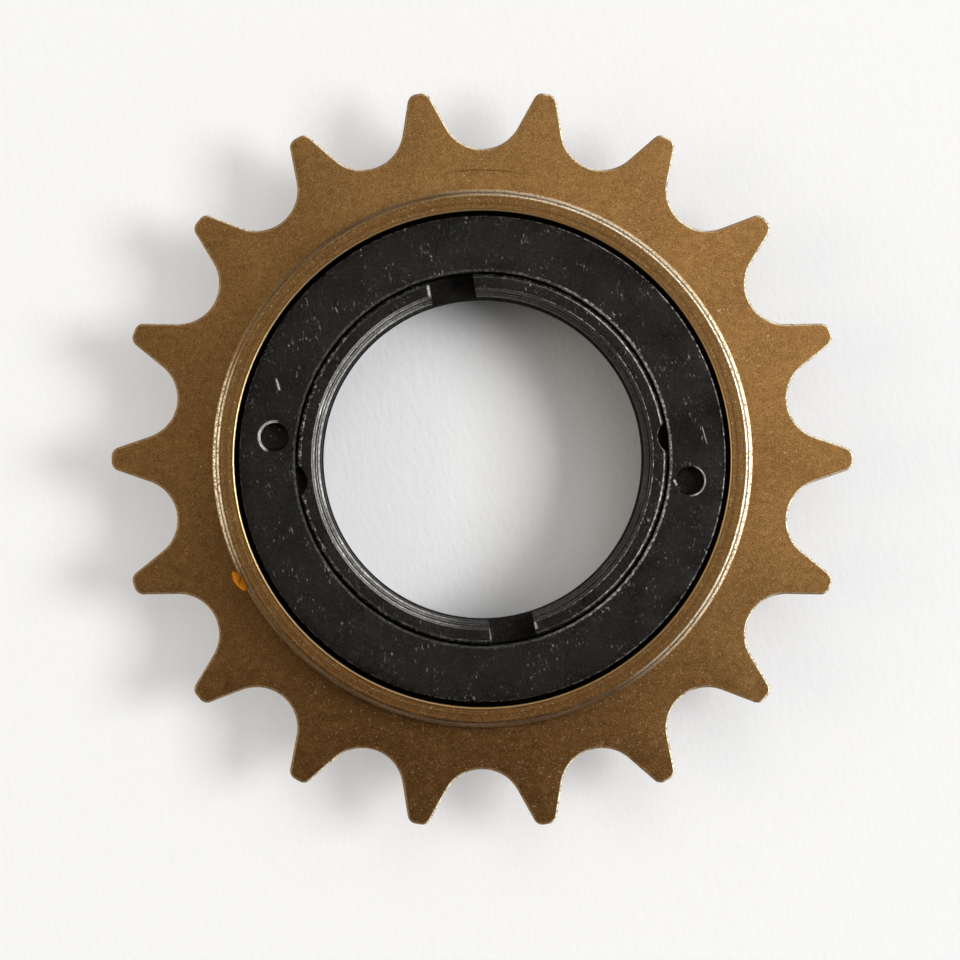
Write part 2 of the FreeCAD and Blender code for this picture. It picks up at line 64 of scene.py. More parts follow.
def draw_loop(name, places):
    """A new mesh with one closed line through the places, left in edit mode."""
    bpy.ops.object.select_all(action="DESELECT")
    bpy.ops.mesh.primitive_plane_add(size=1)
    made = bpy.context.object
    made.name = name
    made.data.name = name
    bpy.ops.object.mode_set(mode="EDIT")
    bpy.ops.mesh.select_all(action="SELECT")
    bpy.ops.mesh.merge(type="CENTER")
    bpy.ops.transform.translate(value=places[0])
    for here, there in zip(places, places[1:] + places[:1]):
        step = tuple(t - h for h, t in zip(here, there))
        bpy.ops.mesh.extrude_region_move(TRANSFORM_OT_translate={"value": step})
    bpy.ops.mesh.select_all(action="SELECT")
    bpy.ops.mesh.remove_doubles(threshold=SAME_CORNER)
    return made


def close_mesh():
    """Merge seams, point the faces outward and leave edit mode."""
    bpy.ops.mesh.select_all(action="SELECT")
    bpy.ops.mesh.remove_doubles(threshold=SAME_CORNER)
    bpy.ops.mesh.normals_make_consistent(inside=False)
    bpy.ops.object.mode_set(mode="OBJECT")


def lathe(name, section, steps=360):
    """A ring turned from a closed section of (radius, height) corners."""
    made = draw_loop(name, [(r, 0.0, z) for r, z in section])
    bpy.ops.mesh.select_all(action="SELECT")
    bpy.ops.mesh.spin(steps=steps, angle=2 * math.pi, **AXLE)
    close_mesh()
    return made


print("a quarter round is drawn with", len(arc((0, 0), 1, 0, 90)), "corners")

# %% [markdown]
# ## The ball races
# Two rows of eighth-inch balls run between the body and the core, so the sizes of their races shape both
# pieces and come first. Between the rows a shelf carries the ratchet. Radii are measured from the axle and
# heights from the hub-side face, as in the CAD.

# %% Sizes of the races
INCH = 25.4
BALL = INCH / 16
RACE_ROOM = 0.04
GROOVE = BALL + RACE_ROOM  # radius of a race's groove
BALL_CIRCLE = 23.0
REAR_ROW = 3.1975
FRONT_ROW = 10.3025
RACE_OUT = BALL_CIRCLE + GROOVE
RACE_IN = BALL_CIRCLE - GROOVE
SHELF_LOW = REAR_ROW + GROOVE
SHELF_HIGH = FRONT_ROW - GROOVE
CREST = 21.3  # radius of the shelf, and of the ratchet's crests
print("races from radius", round(RACE_IN, 3), "to", round(RACE_OUT, 3), "mm")

# %% [markdown]
# ## The toothed body
# The body is turned from one steel blank: a skirt toward the hub, the tooth disc, and a raised ring round
# the lock ring. The disc thins a little toward the tips, as a forged blank does. Eighteen teeth and the
# half-inch pitch of a bicycle chain fix the pitch circle, and the photograph gives the other radii.

# %% Sizes of the body
TEETH = 18
CHAIN_PITCH = INCH / 2
PITCH_RADIUS = CHAIN_PITCH / (2 * math.sin(math.pi / TEETH))
TIP_RISE = 2.5  # from the pitch circle to the tips
TIP = PITCH_RADIUS + TIP_RISE
DISC_LOW = 7.3975
DISC_THICK = 2.8
DISC_HIGH = DISC_LOW + DISC_THICK
DRAFT = 0.7  # each face of the disc falls back by this toward the tips
FILLET = 0.5
SKIRT = 27.3275
SKIRT_LOW = 0.7
SKIRT_ROUND = 0.5
RING = 27.95
RING_ROUND = 0.4
MOUTH = 26.0
MOUTH_FLOOR = 11.6
LIP_ROUND = 0.17
TOP = 14.2
print("tip circle", round(2 * TIP, 2), "mm, ring stands", round(TOP - DISC_HIGH, 2), "mm above the disc")

# %% [markdown]
# ## Turning the body
# The section runs round the blank once: up the skirt, out and back along the disc, over the ring, and down
# through the races. Arcs make its fillets, so one spin gives every round of the real body at once.

# %% Turn the body
body_section = (
    [(RACE_OUT, SKIRT_LOW)]
    + arc((SKIRT - SKIRT_ROUND, SKIRT_LOW + SKIRT_ROUND), SKIRT_ROUND, -90, 0)
    + arc((SKIRT + FILLET, DISC_LOW - FILLET), FILLET, 180, 90)
    + [(TIP, DISC_LOW + DRAFT), (TIP, DISC_HIGH - DRAFT)]
    + arc((RING + FILLET, DISC_HIGH + FILLET), FILLET, 270, 180)
    + arc((RING - RING_ROUND, TOP - RING_ROUND), RING_ROUND, 0, 90)
    + arc((MOUTH + LIP_ROUND, TOP - LIP_ROUND), LIP_ROUND, 90, 180, steps=4)
    + [(MOUTH, MOUTH_FLOOR), (RACE_OUT, MOUTH_FLOOR)]
    + arc((BALL_CIRCLE, FRONT_ROW), GROOVE, 0, -90)
    + [(CREST, SHELF_HIGH), (CREST, SHELF_LOW)]
    + arc((BALL_CIRCLE, REAR_ROW), GROOVE, 90, 0)
)
body = lathe("freewheel_body", body_section)
print("body section corners:", len(body_section))

# %% [markdown]
# ## Milling
# Teeth, notches and pockets are milled or broached out of a turned blank, and a boolean cut copies that
# well. The cutter is an upright block over an outline, repeated round the axle. A Bevel modifier then
# breaks the sharp edges, as deburring and use do, and puts them into a material slot of their own so that
# they can be given wear and a painted highlight later.


# %% Helpers that mill and deburr
OVERRUN = 1.0  # a cutter passes the metal by this


def turn_selected(angle):
    """Turn what is selected anticlockwise about the axle."""
    # Run without a window, the operator turns the other way, so the angle is negated.
    bpy.ops.transform.rotate(value=-angle, orient_axis="Z", center_override=(0, 0, 0))


def repeat_selected(count):
    """Copy what is selected evenly round the axle."""
    share = 2 * math.pi * (count - 1) / count
    bpy.ops.mesh.spin(steps=count - 1, dupli=True, angle=share, **AXLE)


def slab(name, outline, low, high, count, turn=0.0):
    """An upright block over an outline, repeated evenly round the axle."""
    made = draw_loop(name, [(x, y, low) for x, y in outline])
    bpy.ops.mesh.select_all(action="SELECT")
    bpy.ops.mesh.edge_face_add()
    bpy.ops.mesh.extrude_region_move(TRANSFORM_OT_translate={"value": (0, 0, high - low)})
    bpy.ops.mesh.select_all(action="SELECT")
    turn_selected(turn)
    repeat_selected(count)
    close_mesh()
    return made


def pick(item):
    """Select this object only and make it active."""
    bpy.ops.object.select_all(action="DESELECT")
    item.select_set(True)
    bpy.context.view_layer.objects.active = item


def cut(target, cutter):
    """Mill the cutter's volume out of the target."""
    pick(target)
    change = target.modifiers.new("cut", "BOOLEAN")
    change.operation = "DIFFERENCE"
    change.solver = "EXACT"
    change.object = cutter
    bpy.ops.object.modifier_apply(modifier=change.name)
    bpy.data.objects.remove(cutter)


def break_edges(target, width, angle):
    """Round every edge sharper than the angle in degrees, and give it the second material slot."""
    pick(target)
    while len(target.data.materials) < 2:
        target.data.materials.append(None)
    change = target.modifiers.new("edges", "BEVEL")
    change.width = width
    change.segments = 2
    change.limit_method = "ANGLE"
    change.angle_limit = math.radians(angle)
    change.use_clamp_overlap = False
    change.material = 1
    bpy.ops.object.modifier_apply(modifier=change.name)
    print(target.name, "faces with broken edges:", len(target.data.polygons))


print("cutters pass the metal by", OVERRUN, "mm")

# %% [markdown]
# ## Chain teeth
# A roller chain sits in round seats, and the flanks lean away so the rollers can leave. A hob cuts seat and
# flanks in one pass, so one gap is drawn from a seat arc, two straight flanks and rounded tip corners, and
# repeated.

# %% Draw one tooth gap
SEAT = 4.25  # radius of a roller's seat
SEAT_DEPTH = 3.89  # of its floor below the pitch circle
SEAT_CENTRE = PITCH_RADIUS - SEAT_DEPTH + SEAT
FLANK_DEGREES = 29
FLANK = math.radians(FLANK_DEGREES)
TIP_ROUND = 1.0
PAST_TIPS = 1.05  # the hob reaches out to this share of the tip circle
flank_offset = SEAT - SEAT_CENTRE * math.sin(FLANK) + TIP_ROUND
flank_along = math.sqrt((TIP - TIP_ROUND) ** 2 - flank_offset ** 2)
round_centre = (
    math.cos(FLANK) * flank_along - math.sin(FLANK) * flank_offset,
    math.cos(FLANK) * flank_offset + math.sin(FLANK) * flank_along,
)
tip_angle = math.degrees(math.atan2(round_centre[1], round_centre[0]))
upper = arc(round_centre, TIP_ROUND, tip_angle, FLANK_DEGREES - 90, steps=7)
seat = arc((SEAT_CENTRE, 0.0), SEAT, 90 + FLANK_DEGREES, 270 - FLANK_DEGREES, steps=27)
lower = [(x, -y) for x, y in reversed(upper)]
clear = (upper[0][0] * PAST_TIPS, upper[0][1] * PAST_TIPS)
gap = [(clear[0], -clear[1]), clear] + upper + seat + lower
tip_flat = 2 * TIP * (math.pi / TEETH - math.radians(tip_angle))
print("root circle", round(2 * (SEAT_CENTRE - SEAT), 2), "mm, flat of each tip", round(tip_flat, 2), "mm")

# %% [markdown]
# ## Cutting the teeth
# All gaps are cut in one boolean. The edges are broken straight after it, because the ratchet inside keeps
# its sharp edges and is cut later.

# %% Mill the tooth gaps
cut(body, slab("tooth_gaps", gap, DISC_LOW - OVERRUN, DISC_HIGH + OVERRUN, TEETH))
break_edges(body, width=0.22, angle=50)

# %% [markdown]
# ## Ratchet teeth
# Inside the body a shelf carries saw-shaped teeth. Their steep faces push the pawls when the rider pedals,
# and their long ramps press the pawls down when the wheel runs on. They are broached on the real body, and
# cut the same way here.

# %% Broach the ratchet
RATCHET_TEETH = 24
VALLEY = 22.6
STEEP_FACE = math.radians(17.298)  # bearing of the first steep face
RAMP = math.radians(14.193)  # angle that one ramp takes up
RAMP_STEPS = 8
BROACH_IN = 20.5  # the broach starts inside the crests
shares = [i / RAMP_STEPS for i in range(RAMP_STEPS + 1)]
spiral = [(RAMP * (share - 1), CREST + (VALLEY - CREST) * share) for share in shares]
tooth_space = [(r * math.cos(a), r * math.sin(a)) for a, r in spiral]
tooth_space += [(BROACH_IN, 0.0), (BROACH_IN * math.cos(RAMP), -BROACH_IN * math.sin(RAMP))]
broach_low = SHELF_LOW - OVERRUN
broach_high = SHELF_HIGH + OVERRUN
cut(body, slab("ratchet_spaces", tooth_space, broach_low, broach_high, RATCHET_TEETH, STEEP_FACE))
print("ratchet teeth:", RATCHET_TEETH, "deep", round(VALLEY - CREST, 2), "mm")

# %% [markdown]
# ## Settling a finished piece
# A drawing is easier to read in millimetres, while the frame counts in metres. So each finished mesh is
# brought to metres at the end, cleared of slivers, smoothed with its flat faces kept flat, and hung on its
# body in the frame, in place of the plain CAD piece that it dresses.


# %% Helper that settles a piece, and the body
MM = 0.001
SLIVER = 0.002
SMOOTH_ANGLE = math.radians(48)


def settle(target, body, slot=None, *nodes):
    """Bring a finished mesh to metres, smooth it and hang it on its body; the slot argument is not used."""
    pick(target)
    bpy.ops.object.mode_set(mode="EDIT")
    bpy.ops.mesh.select_all(action="SELECT")
    bpy.ops.mesh.dissolve_degenerate(threshold=SLIVER)
    bpy.ops.mesh.select_all(action="SELECT")
    bpy.ops.transform.resize(value=(MM, MM, MM), center_override=(0, 0, 0))
    bpy.ops.object.mode_set(mode="OBJECT")
    bpy.ops.object.shade_smooth_by_angle(angle=SMOOTH_ANGLE)
    level = target.modifiers.new("level", "WEIGHTED_NORMAL")
    level.weight = 100
    level.keep_sharp = True
    bpy.ops.object.modifier_apply(modifier=level.name)
    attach(target, body)
    if nodes:
        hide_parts(*nodes)
    print(target.name, len(target.data.polygons), "faces")


settle(body, "sprocket", "bronze_steel", "sprocket_body")

# %% [markdown]
# ## The threaded core
# The core screws onto the hub. Its rear flange is the inner race of the rear balls, its waist holds the
# pawls, and its narrow end carries the lock ring. Small turned steps lead into the bore. It is drawn as one
# section and spun.

# %% Turn the core
BORE = 16.9
BORE_CHAMFER = 0.6
HUB_STEP = (20.5, 0.5)  # radius and height of the step that meets the hub
FLANGE = 24.275
FLANGE_CHAMFER = 0.3
FLANGE_TOP = 1.57
RACE_TOP = 4.3975
CORE = 20.9
SHOULDER = 9.175
CORE_THREAD = 19.4
CORE_TOP = 14.0
CORE_ROUND = 0.5
LEAD_IN = (  # steps into the bore, by their depth in its wall and below the open end
    (1.0, 0.0), (0.86, 0.44), (0.72, 0.498), (0.62, 0.9),
    (0.48, 0.958), (0.36, 1.5), (0.2, 1.566), (0.0, 2.7),
)
core_section = (
    [(BORE + BORE_CHAMFER, 0.0), (HUB_STEP[0], 0.0), HUB_STEP, (FLANGE - FLANGE_CHAMFER, HUB_STEP[1])]
    + [(FLANGE, HUB_STEP[1] + FLANGE_CHAMFER), (FLANGE, FLANGE_TOP)]
    + arc((BALL_CIRCLE, REAR_ROW), GROOVE, 270, 180)
    + [(RACE_IN, RACE_TOP), (CORE, RACE_TOP), (CORE, SHOULDER), (CORE_THREAD, SHOULDER)]
    + arc((CORE_THREAD - CORE_ROUND, CORE_TOP - CORE_ROUND), CORE_ROUND, 0, 90, steps=4)
    + [(BORE + out, CORE_TOP - down) for out, down in LEAD_IN]
    + [(BORE, BORE_CHAMFER)]
)
core = lathe("freewheel_core", core_section, steps=240)
print("core section corners:", len(core_section))

# %% [markdown]
# ## Remover notches
# Two square notches in the open end take a remover, which unscrews the part from the hub. A milling cutter
# crosses the rim, so a plain block from inside the bore to outside the thread is cut away twice.

# %% Mill the notches
NOTCH_HALF = 2.35
NOTCH_IN = 15.0
NOTCH_OUT = 21.0
NOTCH_DEPTH = 3.0
notch = [(-NOTCH_HALF, NOTCH_IN), (NOTCH_HALF, NOTCH_IN), (NOTCH_HALF, NOTCH_OUT), (-NOTCH_HALF, NOTCH_OUT)]
cut(core, slab("notches", notch, CORE_TOP - NOTCH_DEPTH, CORE_TOP + OVERRUN, 2))
print("core faces with notches:", len(core.data.polygons))

# %% [markdown]
# ## Grooves and pockets for the pawls
# Each pawl turns in a half-round heel groove, milled from the open end, and lies down in a flat pocket
# beside it. Both are blocks again, one over a circle and one over a leaning rectangle. One light bevel
# follows while the bore is still plain, because a thread keeps its sharp crests.

# %% Mill the pawl seats
HEEL = 1.9  # radius of a pawl's heel groove
HEEL_CIRCLE = 20.4
HEEL_TURN = math.radians(-3.3)
POCKET_INSET = 0.12
POCKET_LOW = SHELF_LOW + POCKET_INSET
POCKET_HIGH = SHELF_HIGH - POCKET_INSET
POCKET_LENGTH = 7.8
LEAN = math.radians(7.5)
heel = arc((HEEL_CIRCLE, 0.0), HEEL, 0, 360, steps=40)[:-1]
cut(core, slab("heel_grooves", heel, POCKET_LOW, TOP + OVERRUN, 2, HEEL_TURN))
floor_x = HEEL_CIRCLE * math.cos(LEAN) - HEEL
open_x = floor_x + 2 * HEEL
heel_y = -HEEL_CIRCLE * math.sin(LEAN)
end_y = heel_y + POCKET_LENGTH
pocket = [(floor_x, heel_y), (open_x, heel_y), (open_x, end_y), (floor_x, end_y)]
cut(core, slab("pawl_pockets", pocket, POCKET_LOW, POCKET_HIGH, 2, HEEL_TURN + LEAN))
break_edges(core, width=0.07, angle=58)
print("narrowest bore radius:", round(min(math.hypot(v.co.x, v.co.y) for v in core.data.vertices), 3), "mm")

# %% [markdown]
# ## The hub thread
# The bore carries a fine thread of 24 turns to the inch. A tap cuts its V-shaped groove, which climbs one
# pitch each turn. A triangle swept by the Screw modifier is that tap: capped at both ends it is a solid
# cutter, and one boolean leaves the crests at the bore and the roots behind them.

# %% Tap the bore
THREAD_PITCH = INCH / 24
THREAD_ROOT = 17.56
THREAD_TURNS = 15
TURN_STEPS = 144
TAP_IN = BORE - 0.25  # the tap's base lies in the open bore
TAP_START = -1.3  # and its first turn below the hub-side face
tap_half = (THREAD_ROOT - TAP_IN) * math.tan(math.radians(30))
triangle = [
    (TAP_IN, 0, TAP_START - tap_half),
    (THREAD_ROOT, 0, TAP_START),
    (TAP_IN, 0, TAP_START + tap_half),
]
tap = draw_loop("tap", triangle)
bpy.ops.object.mode_set(mode="OBJECT")
helix = tap.modifiers.new("helix", "SCREW")
helix.axis = "Z"
helix.screw_offset = THREAD_PITCH
helix.iterations = THREAD_TURNS
helix.steps = TURN_STEPS
helix.render_steps = TURN_STEPS
helix.use_merge_vertices = True
helix.merge_threshold = SAME_CORNER
pick(tap)
bpy.ops.object.modifier_apply(modifier=helix.name)
bpy.ops.object.mode_set(mode="EDIT")
bpy.ops.mesh.select_all(action="SELECT")
bpy.ops.mesh.fill_holes(sides=4)
close_mesh()
cut(core, tap)
settle(core, "core", "black_steel", "inner_core")
print("thread pitch", round(THREAD_PITCH, 3), "mm")

# %% [markdown]
# ## The lock ring
# The lock ring is the front cone: its hidden underside rolls on the balls. Its rim is bevelled, and a
# narrow dark gap parts it from the body, which turns round it. The edges are broken before any hole is
# drilled, so that the bevel has only clean circles to follow.

# %% Turn the lock ring
LOCK = 25.5
LOCK_BORE = 19.6
LOCK_LOW = 9.575
LOCK_UNDER = FRONT_ROW + GROOVE
LOCK_RIM = (1.1, 0.35)  # width and fall of the bevelled rim
LOCK_CHAMFER = 0.2
lock_section = (
    [(LOCK_BORE, LOCK_LOW), (RACE_IN, LOCK_LOW)]
    + arc((BALL_CIRCLE, FRONT_ROW), GROOVE, 180, 90)
    + [(LOCK, LOCK_UNDER), (LOCK, TOP - LOCK_RIM[1]), (LOCK - LOCK_RIM[0], TOP)]
    + [(LOCK_BORE + LOCK_CHAMFER, TOP), (LOCK_BORE, TOP - LOCK_CHAMFER)]
)
lock = lathe("freewheel_lock_ring", lock_section, steps=300)
break_edges(lock, width=0.12, angle=40)

# %% [markdown]
# ## Pin holes
# Two blind holes take a pin spanner. Years of spanners have worn their rims to one side, so each hole gets
# a drill with a rounded bottom and then a shallow countersink that is shifted a little. Places on the part
# are given as the photograph shows them, and it was taken with the part turned by ten degrees.


# %% Drill the lock ring
PHOTO_TURN = math.radians(10.0)
PIN_HOLE = 1.5  # radius, and depth too
PIN_ROUND = 0.5
CORE_OF_DRILL = 0.001  # a drill's section stays this far from its own axis
SINK_DEPTH = 0.25  # of a countersink, at its middle
SINK_SLOPE = (0.45, 0.19)  # width and height of its slope
SINK_OVER = (0.2, 0.5)  # how far the countersink passes the face, outward and upward
PINS = (  # reach, bearing, worn side, shift to it and radius of the countersink
    (21.9, 174.0, 160, 0.14, 1.60),
    (21.9, 354.0, -8, 0.04, 1.58),
)


def seen_at(reach, bearing):
    """A place on the part by its distance from the axle and its bearing in the photograph."""
    angle = math.radians(bearing) - PHOTO_TURN
    return (reach * math.cos(angle), reach * math.sin(angle), 0.0)


def drill(outline, *moves):
    """Turn a drill from its outline, move it off the axle and sink it into the lock ring."""
    made = lathe("drill", outline, steps=48)
    bpy.ops.object.mode_set(mode="EDIT")
    bpy.ops.mesh.select_all(action="SELECT")
    for move in moves:
        bpy.ops.transform.translate(value=move)
    close_mesh()
    cut(lock, made)


for reach, bearing, side, shift, wide in PINS:
    hole = [(CORE_OF_DRILL, TOP - PIN_HOLE)]
    hole += arc((PIN_HOLE - PIN_ROUND, TOP - PIN_HOLE + PIN_ROUND), PIN_ROUND, -90, 0, steps=5)
    hole += [(PIN_HOLE, TOP + OVERRUN), (CORE_OF_DRILL, TOP + OVERRUN)]
    drill(hole, seen_at(reach, bearing))
    rim = [(CORE_OF_DRILL, TOP - SINK_DEPTH), (wide - SINK_SLOPE[0], TOP - SINK_SLOPE[1]), (wide, TOP)]
    rim += [(wide + SINK_OVER[0], TOP + SINK_OVER[1]), (CORE_OF_DRILL, TOP + SINK_OVER[1])]
    drill(rim, seen_at(reach, bearing), seen_at(shift, side))
settle(lock, "core", "black_steel", "lock_ring")
print("pin holes:", len(PINS))

# %% [markdown]
# ## Bearing balls
# Two full rows of loose eighth-inch balls carry the body. The CAD rows have flat facets to stay light, so
# smooth spheres take their place here: one ball is added at the ball circle and copied round it.


# %% Fill the two ball rows
ROW_COUNT = 45


def ball_row(name, height, body_name, node):
    """A full row of smooth balls."""
    bpy.ops.object.select_all(action="DESELECT")
    bpy.ops.mesh.primitive_ico_sphere_add(subdivisions=2, radius=BALL, location=(0, 0, 0))
    row = bpy.context.object
    row.name = name
    bpy.ops.object.mode_set(mode="EDIT")
    bpy.ops.mesh.select_all(action="SELECT")
    bpy.ops.transform.translate(value=(BALL_CIRCLE, 0, height))
    repeat_selected(ROW_COUNT)
    bpy.ops.mesh.select_all(action="SELECT")
    bpy.ops.mesh.normals_make_consistent(inside=False)
    bpy.ops.object.mode_set(mode="OBJECT")
    settle(row, body_name, "bearing_steel", node)
    return row


front_balls = ball_row("front_ball_row", FRONT_ROW, "front_row", "front_balls")
rear_balls = ball_row("rear_ball_row", REAR_ROW, "rear_row", "rear_balls")

# %% [markdown]
# ## The paint dab
# A small leaf of orange paint sits on the disc beside the raised ring, left by whoever marked the part. It
# is a thin blob of dried paint, so a flat disc is stretched along the ring, given a thin edge and lifted a
# little in the middle.

# %% Lay the paint dab
DAB_HALF = (0.48, 1.22, 1.0)  # half its width and half its length
DAB_EDGE = 0.2
DAB_CROWN = 0.08
CROWN_SHARE = (0.72, 0.86, 1.0)
DAB_LEAN = math.radians(11)
DAB_REACH = 28.62
DAB_SUNK = 0.12
DAB_TURN = math.radians(196.7)
bpy.ops.object.select_all(action="DESELECT")
bpy.ops.mesh.primitive_circle_add(vertices=32, radius=1.0, fill_type="TRIFAN")
dab = bpy.context.object
dab.name = "paint_dab"
bpy.ops.object.mode_set(mode="EDIT")
bpy.ops.mesh.select_all(action="SELECT")
bpy.ops.transform.resize(value=DAB_HALF)
bpy.ops.mesh.extrude_region_move(TRANSFORM_OT_translate={"value": (0, 0, DAB_EDGE)})
bpy.ops.mesh.extrude_region_move(TRANSFORM_OT_translate={"value": (0, 0, DAB_CROWN)})
bpy.ops.transform.resize(value=CROWN_SHARE, center_override=(0, 0, 0))
bpy.ops.mesh.select_all(action="SELECT")
turn_selected(DAB_LEAN)
bpy.ops.transform.translate(value=(DAB_REACH, 0, DISC_HIGH - DAB_SUNK))
turn_selected(DAB_TURN)
close_mesh()
settle(dab, "sprocket")

# %% [markdown]
# ## Node helpers for finishes
# Metal shows its age in layers: a base colour, mottling, pits, scratches and worn edges. Small helpers make
# each layer one line, so every finish below reads as a recipe. Object coordinates are metres, so a noise
# scale of 1000 gives cells of about a millimetre.


# %% Helpers that add nodes
def new_material(name):
    """An empty node material with its shader, and the place of each point."""
    material = bpy.data.materials.new(name)
    material.use_nodes = True
    tree = material.node_tree
    shader = tree.nodes["Principled BSDF"]
    place = tree.nodes.new("ShaderNodeTexCoord").outputs["Object"]
    return material, tree, shader, place


def put(tree, kind, values, **settings):
    """A node with its settings; sockets are linked, other values are set."""
    made = tree.nodes.new(kind)
    for key, setting in settings.items():
        setattr(made, key, setting)
    for key, item in values.items():
        if isinstance(item, bpy.types.NodeSocket):
            tree.links.new(item, made.inputs[key])
        else:
            made.inputs[key].default_value = item
    return made


def noise(tree, place, scale, detail=3.0, rough=0.55):
    """Noise from 0 to 1 over the places."""
    values = {"Vector": place, "Scale": scale, "Detail": detail, "Roughness": rough}
    return put(tree, "ShaderNodeTexNoise", values).outputs["Fac"]


def ramp(tree, item, low, high, to_low=0.0, to_high=1.0):
    """A clamped straight ramp."""
    values = {"Value": item, "From Min": low, "From Max": high, "To Min": to_low, "To Max": to_high}
    return put(tree, "ShaderNodeMapRange", values).outputs["Result"]


def sums(tree, operation, first, second=0.0):
    """One sum of two numbers."""
    return put(tree, "ShaderNodeMath", {0: first, 1: second}, operation=operation).outputs[0]


def blend(tree, factor, first, second):
    """A mix of two colours."""
    return put(tree, "ShaderNodeMix", {0: factor, 6: first, 7: second}, data_type="RGBA").outputs[2]


def bump(tree, height, depth, strength=1.0):
    """A normal from a height field, depth in metres."""
    values = {"Height": height, "Distance": depth, "Strength": strength}
    return put(tree, "ShaderNodeBump", values).outputs["Normal"]


print("materials in the frame:", len(bpy.data.materials))

# %% [markdown]
# ## Finding a place on the part
# Wear has a place: a rim that tools touch, the side that was handled, a scratch beside a hole. These
# helpers turn object coordinates into a radius and a height in millimetres, a bearing, or a small frame
# about one mark.


# %% Helpers that find a place
def radius_of(tree, place):
    """Distance from the axle, and height, of each point in millimetres."""
    values = {0: place, "Scale": 1 / MM}
    drawn = put(tree, "ShaderNodeVectorMath", values, operation="SCALE").outputs["Vector"]
    parts = put(tree, "ShaderNodeSeparateXYZ", {"Vector": drawn}).outputs
    across = sums(tree, "MULTIPLY", parts["X"], parts["X"])
    square = sums(tree, "ADD", across, sums(tree, "MULTIPLY", parts["Y"], parts["Y"]))
    return sums(tree, "SQRT", square), parts["Z"]


def share_along(tree, vector, bearing, length=1.0):
    """How far a vector points toward this bearing in the photograph."""
    values = {0: vector, 1: seen_at(length, bearing)}
    return put(tree, "ShaderNodeVectorMath", values, operation="DOT_PRODUCT").outputs["Value"]


def facing(tree, place, radius, bearing):
    """1 on this bearing in the photograph, -1 opposite."""
    return sums(tree, "DIVIDE", share_along(tree, place, bearing, 1 / MM), radius)


def band(tree, item, middle, half, soft):
    """1 within half of the middle, fading to 0 over soft."""
    away = sums(tree, "ABSOLUTE", sums(tree, "SUBTRACT", item, middle))
    return ramp(tree, away, half, half + soft, 1.0, 0.0)


def local_of(tree, place, reach, bearing, turn, length, width):
    """Coordinates about a place on the part, turned to a bearing and counted in lengths and widths."""
    middle = tuple(part * MM for part in seen_at(reach, bearing))
    values = {"Vector": place, "Location": middle, "Scale": (length * MM, width * MM, 1.0)}
    values["Rotation"] = (0.0, 0.0, math.radians(turn) - PHOTO_TURN)
    local = put(tree, "ShaderNodeMapping", values, vector_type="TEXTURE").outputs["Vector"]
    parts = put(tree, "ShaderNodeSeparateXYZ", {"Vector": local}).outputs
    return parts["X"], parts["Y"]


def mark(tree, place, *where):
    """1 on a short straight mark, 0 elsewhere."""
    along, across = local_of(tree, place, *where)
    ends = ramp(tree, sums(tree, "ABSOLUTE", along), 0.30, 0.50, 1.0, 0.0)
    return sums(tree, "MULTIPLY", ends, ramp(tree, sums(tree, "ABSOLUTE", across), 0.2, 0.5, 1.0, 0.0))


print("bearing 0 of the photograph points to", [round(part, 3) for part in seen_at(1.0, 0)])

# %% [markdown]
# ## Bronze-brown steel
# The body is steel with a brown bronze-like finish: satin, finely grained, a little stained, with tiny pale
# pits in clusters, and painted shade that makes one side redder and darker. Colour is built up by mixing
# one layer of noise over another.


# %% Colour the bronze
BRONZE = {
    "deep": (0.212, 0.108, 0.033, 1),
    "light": (0.280, 0.147, 0.048, 1),
    "painted_shade_side": (0.160, 0.062, 0.016, 1),
    "dark_mottle": (0.120, 0.058, 0.017, 1),
    "pale_mottle": (0.36, 0.21, 0.080, 1),
    "dark_grain": (0.085, 0.040, 0.012, 1),
    "pale_grain": (0.42, 0.26, 0.11, 1),
    "fleck": (0.62, 0.50, 0.34, 1),
    "pit": (0.035, 0.018, 0.007, 1),
    "turned": (0.10, 0.052, 0.018, 1),
    "arc_mark": (0.07, 0.033, 0.011, 1),
    "bright_wear_and_highlight": (0.98, 0.87, 0.64, 1),
    "lip_highlight": (0.74, 0.52, 0.25, 1),
    "gap": (0.008, 0.006, 0.005, 1),
}


def bronze_base(tree, place, radius, grain):
    """Brown, stained in clouds, painted redder and darker on one side as shade, mottled and grained."""
    stain = noise(tree, place, 130.0, 5.0, 0.6)
    colour = blend(tree, ramp(tree, stain, 0.3, 0.72), BRONZE["deep"], BRONZE["light"])
    # painted shade: the side away from the lamps is made redder and darker
    painted_shade_side = ramp(tree, facing(tree, place, radius, 260), 0.4, 0.95, 0.0, 0.62)
    colour = blend(tree, painted_shade_side, colour, BRONZE["painted_shade_side"])
    mottle = noise(tree, place, 1300.0, 4.0, 0.65)
    colour = blend(tree, ramp(tree, mottle, 0.36, 0.54, 0.3, 0.0), colour, BRONZE["dark_mottle"])
    colour = blend(tree, ramp(tree, mottle, 0.54, 0.70, 0.0, 0.3), colour, BRONZE["pale_mottle"])
    colour = blend(tree, ramp(tree, grain, 0.34, 0.52, 0.7, 0.0), colour, BRONZE["dark_grain"])
    return blend(tree, ramp(tree, grain, 0.54, 0.74, 0.0, 0.65), colour, BRONZE["pale_grain"])


def bronze_flecks(tree, place, radius, colour, on_ring, cluster):
    """Pale flecks in clusters, on the ring and on one side of the disc, and dark pits all over."""
    one_side = ramp(tree, facing(tree, place, radius, 285), 0.3, 0.9, 0.0, 0.8)
    where = sums(tree, "MAXIMUM", cluster, sums(tree, "MULTIPLY", on_ring, 0.9))
    where = sums(tree, "MAXIMUM", where, one_side)
    fleck = noise(tree, place, 4200.0, 2.0, 0.6)
    pale = sums(tree, "MULTIPLY", ramp(tree, fleck, 0.64, 0.72, 0.0, 0.8), where)
    colour = blend(tree, pale, colour, BRONZE["fleck"])
    return blend(tree, ramp(tree, fleck, 0.24, 0.31, 0.8, 0.0), colour, BRONZE["pit"])


print("bronze tones:", len(BRONZE))
